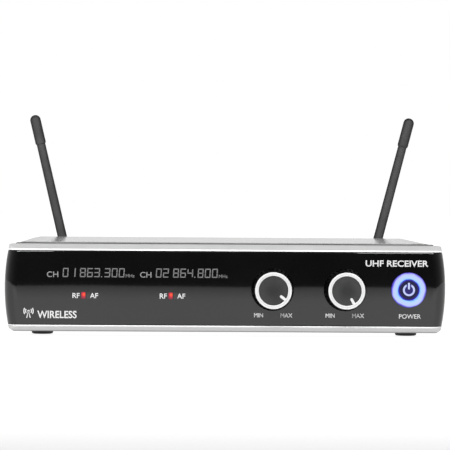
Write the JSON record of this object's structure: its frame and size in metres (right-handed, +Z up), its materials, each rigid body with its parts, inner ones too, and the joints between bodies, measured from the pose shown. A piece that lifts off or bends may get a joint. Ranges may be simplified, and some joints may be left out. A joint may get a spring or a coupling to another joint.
{
  "type": "wireless microphone receiver",
  "caption": "Half-rack wireless microphone receiver: glossy black front with volume knobs, lit power button and signal lights, silver case, and hinged whip antennas on the rear.",
  "frame": {"origin": "on the surface it stands on, under the centre of its overall box, knobs and antenna plugs included", "axes": "+X to the right seen from the front, +Y from the front panel to the rear panel, +Z up"},
  "size_m": [0.2103, 0.199, 0.1102],
  "materials": {
    "silver_plastic": "satin silver paint on moulded plastic",
    "black_gloss": "piano black, glossy",
    "gasket": "matt foam rubber",
    "silver_paint": "satin silver powder coat on sheet steel",
    "zinc_steel": "zinc-plated sheet steel",
    "black_paint": "fine-textured black powder coat",
    "foot_rubber": "matt black rubber",
    "screw_black": "black oxide",
    "screw_zinc": "bright zinc plate",
    "connector_nickel": "satin nickel plate",
    "connector_black": "moulded black plastic",
    "contact_gold": "gold flash over brass",
    "contact_silver": "silver plate",
    "ptfe": "white PTFE",
    "pot_steel": "plated pressed steel",
    "pot_shaft": "turned",
    "knob_grey": "dark grey, satin",
    "knob_ring": "bright silver-white",
    "light_ring": "frosted, lit blue-white from behind",
    "button_dark": "dark, glossy, tinted by the light behind it",
    "symbol_white": "translucent white, lit",
    "red_lens": "clear red, lit",
    "smoked_lens": "smoked red, unlit",
    "led_chip": "moulded white",
    "board_green": "green solder mask on glass-epoxy",
    "tin_plate": "tinned sheet",
    "lead_jacket": "smooth black jacket",
    "capacitor_sleeve": "dark shrink sleeve",
    "chip_epoxy": "moulded epoxy",
    "heat_sink_black": "black anodised",
    "ribbon_grey": "ribbed grey vinyl",
    "antenna_plastic": "moulded black plastic",
    "antenna_rubber": "soft matt black rubber"
  },
  "bodies": {
    "case": {"af_lenses": "smoked_lens", "antenna_jack_cores": "ptfe", "antenna_jack_nuts": "connector_nickel", "antenna_jacks": "connector_nickel", "antenna_leads": "lead_jacket", "bezel_gasket": "gasket", "bezel_screws": "screw_zinc", "board_screws": "screw_zinc", "board_standoffs": "contact_gold", "capacitors": "capacitor_sleeve", "chassis_tray": "zinc_steel", "connector_screws": "screw_black", "cover_screws": "screw_zinc", "dc_jack_body": "connector_black", "dc_jack_pin": "connector_nickel", "front_bezel": "silver_plastic", "front_board": "board_green", "front_fascia": "black_gloss", "heat_sink": "heat_sink_black", "ic_packages": "chip_epoxy", "main_board": "board_green", "mix_jack_body": "connector_black", "mix_jack_nut": "connector_nickel", "pot_bodies": "pot_steel", "pot_nuts": "connector_nickel", "power_leds": "led_chip", "power_light_ring": "light_ring", "power_switch": "connector_black", "rear_panel": "black_paint", "rear_panel_screws": "screw_black", "rf_lenses": "red_lens", "rf_shields": "tin_plate", "ribbon_cable": "ribbon_grey", "ribbon_headers": "connector_black", "rubber_feet": "foot_rubber", "signal_leds": "led_chip", "top_cover": "silver_paint", "voltage_regulator": "chip_epoxy", "xlr_ch1_shell": "connector_nickel", "xlr_ch2_shell": "connector_nickel", "xlr_inserts": "connector_black", "xlr_pins": "contact_silver"},
    "knob_ch1": {"knob_ch1_body": "knob_grey", "knob_ch1_ring": "knob_ring", "pot_ch1_shaft": "pot_shaft"},
    "knob_ch2": {"knob_ch2_body": "knob_grey", "knob_ch2_ring": "knob_ring", "pot_ch2_shaft": "pot_shaft"},
    "power_button": {"power_button": "button_dark", "power_symbol": "symbol_white"},
    "antenna_left_base": {"antenna_left_plug": "antenna_plastic", "antenna_left_elbow": "antenna_plastic", "antenna_left_hinge_pin": "pot_steel"},
    "antenna_left_whip": {"antenna_left_whip": "antenna_rubber", "antenna_left_tip": "antenna_rubber"},
    "antenna_right_base": {"antenna_right_plug": "antenna_plastic", "antenna_right_elbow": "antenna_plastic", "antenna_right_hinge_pin": "pot_steel"},
    "antenna_right_whip": {"antenna_right_whip": "antenna_rubber", "antenna_right_tip": "antenna_rubber"}
  },
  "joints": [
    {"name": "volume_ch1", "type": "hinge", "parent": "case", "child": "knob_ch1", "pos_m": [0.0223, -0.0925, 0.0229], "axis": [0, 1, 0], "range_deg": [-277, 23]},
    {"name": "volume_ch2", "type": "hinge", "parent": "case", "child": "knob_ch2", "pos_m": [0.0567, -0.0925, 0.0229], "axis": [0, 1, 0], "range_deg": [-300, 0]},
    {"name": "power_press", "type": "slide", "parent": "case", "child": "power_button", "axis": [0, 1, 0], "range_m": [0, 0.0015], "stiffness_N_per_m": 900},
    {"name": "antenna_left_swivel", "type": "hinge", "parent": "case", "child": "antenna_left_base", "pos_m": [-0.0827, 0.0947, 0.0308], "axis": [0, -1, 0], "range_deg": [-103.3, 76.7]},
    {"name": "antenna_left_fold", "type": "hinge", "parent": "antenna_left_base", "child": "antenna_left_whip", "pos_m": [-0.0827, 0.0947, 0.0308], "axis": [-0.9732, 0, -0.23], "range_deg": [0, 90]},
    {"name": "antenna_right_swivel", "type": "hinge", "parent": "case", "child": "antenna_right_base", "pos_m": [0.0827, 0.0947, 0.0308], "axis": [0, 1, 0], "range_deg": [-104.5, 75.5]},
    {"name": "antenna_right_fold", "type": "hinge", "parent": "antenna_right_base", "child": "antenna_right_whip", "pos_m": [0.0827, 0.0947, 0.0308], "axis": [-0.9681, 0, 0.2504], "range_deg": [0, 90]}
  ]
}
